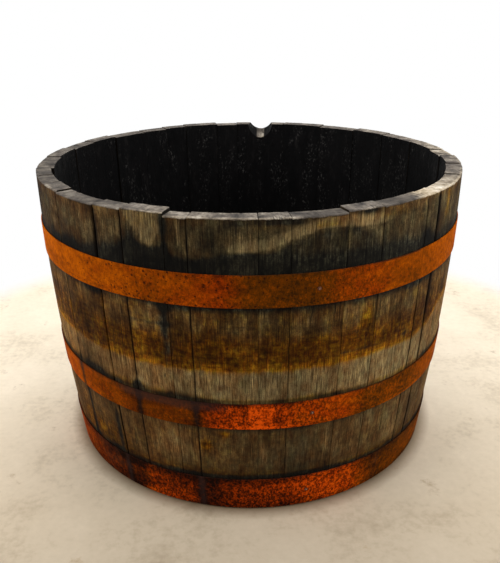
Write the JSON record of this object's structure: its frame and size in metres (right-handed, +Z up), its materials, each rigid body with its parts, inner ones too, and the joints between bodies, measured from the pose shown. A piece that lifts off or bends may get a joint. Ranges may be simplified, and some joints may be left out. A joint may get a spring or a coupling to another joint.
{
  "type": "half barrel planter",
  "caption": "Open tub planter made from half an oak barrel: bowed staves in three riveted steel hoops, with a board head set in a groove near the foot.",
  "frame": {"origin": "on the floor, under the middle of the tub", "axes": "+Z up along the tub's axis, front of the tub towards -Y, +X to the right"},
  "size_m": [0.6621, 0.6621, 0.453],
  "materials": {
    "weathered_oak": "weathered oak, grey-brown with ochre and black stains outside, charred black inside, silver-grey sawn rim",
    "head_oak": "oak boards, charred and dirty on the inner face, grey-brown below",
    "dowel_wood": "turned hardwood dowel",
    "rusted_steel": "bare hoop strip, rusted through orange and dark brown, pitted",
    "rivet_steel": "rusted steel rivet",
    "nail_steel": "rusted nail head, worn to bare metal at its crown"
  },
  "bodies": {
    "root": {"bung_stave": "weathered_oak", "stave_02": "weathered_oak", "stave_03": "weathered_oak", "stave_04": "weathered_oak", "stave_05": "weathered_oak", "stave_06": "weathered_oak", "stave_07": "weathered_oak", "stave_08": "weathered_oak", "stave_09": "weathered_oak", "stave_10": "weathered_oak", "stave_11": "weathered_oak", "stave_12": "weathered_oak", "stave_13": "weathered_oak", "stave_14": "weathered_oak", "stave_15": "weathered_oak", "stave_16": "weathered_oak", "stave_17": "weathered_oak", "stave_18": "weathered_oak", "stave_19": "weathered_oak", "stave_20": "weathered_oak", "stave_21": "weathered_oak", "stave_22": "weathered_oak", "stave_23": "weathered_oak", "stave_24": "weathered_oak", "stave_25": "weathered_oak", "stave_26": "weathered_oak", "stave_27": "weathered_oak", "stave_28": "weathered_oak", "stave_29": "weathered_oak", "stave_30": "weathered_oak", "stave_31": "weathered_oak", "stave_32": "weathered_oak", "stave_33": "weathered_oak", "stave_34": "weathered_oak", "head_board_1": "head_oak", "head_board_2": "head_oak", "head_board_3": "head_oak", "head_board_4": "head_oak", "head_board_5": "head_oak", "head_board_6": "head_oak", "head_board_7": "head_oak", "head_dowels": "dowel_wood", "head_hoop": "rusted_steel", "quarter_hoop": "rusted_steel", "bilge_hoop": "rusted_steel", "hoop_rivets": "rivet_steel", "hoop_nails": "nail_steel"}
  },
  "joints": []
}
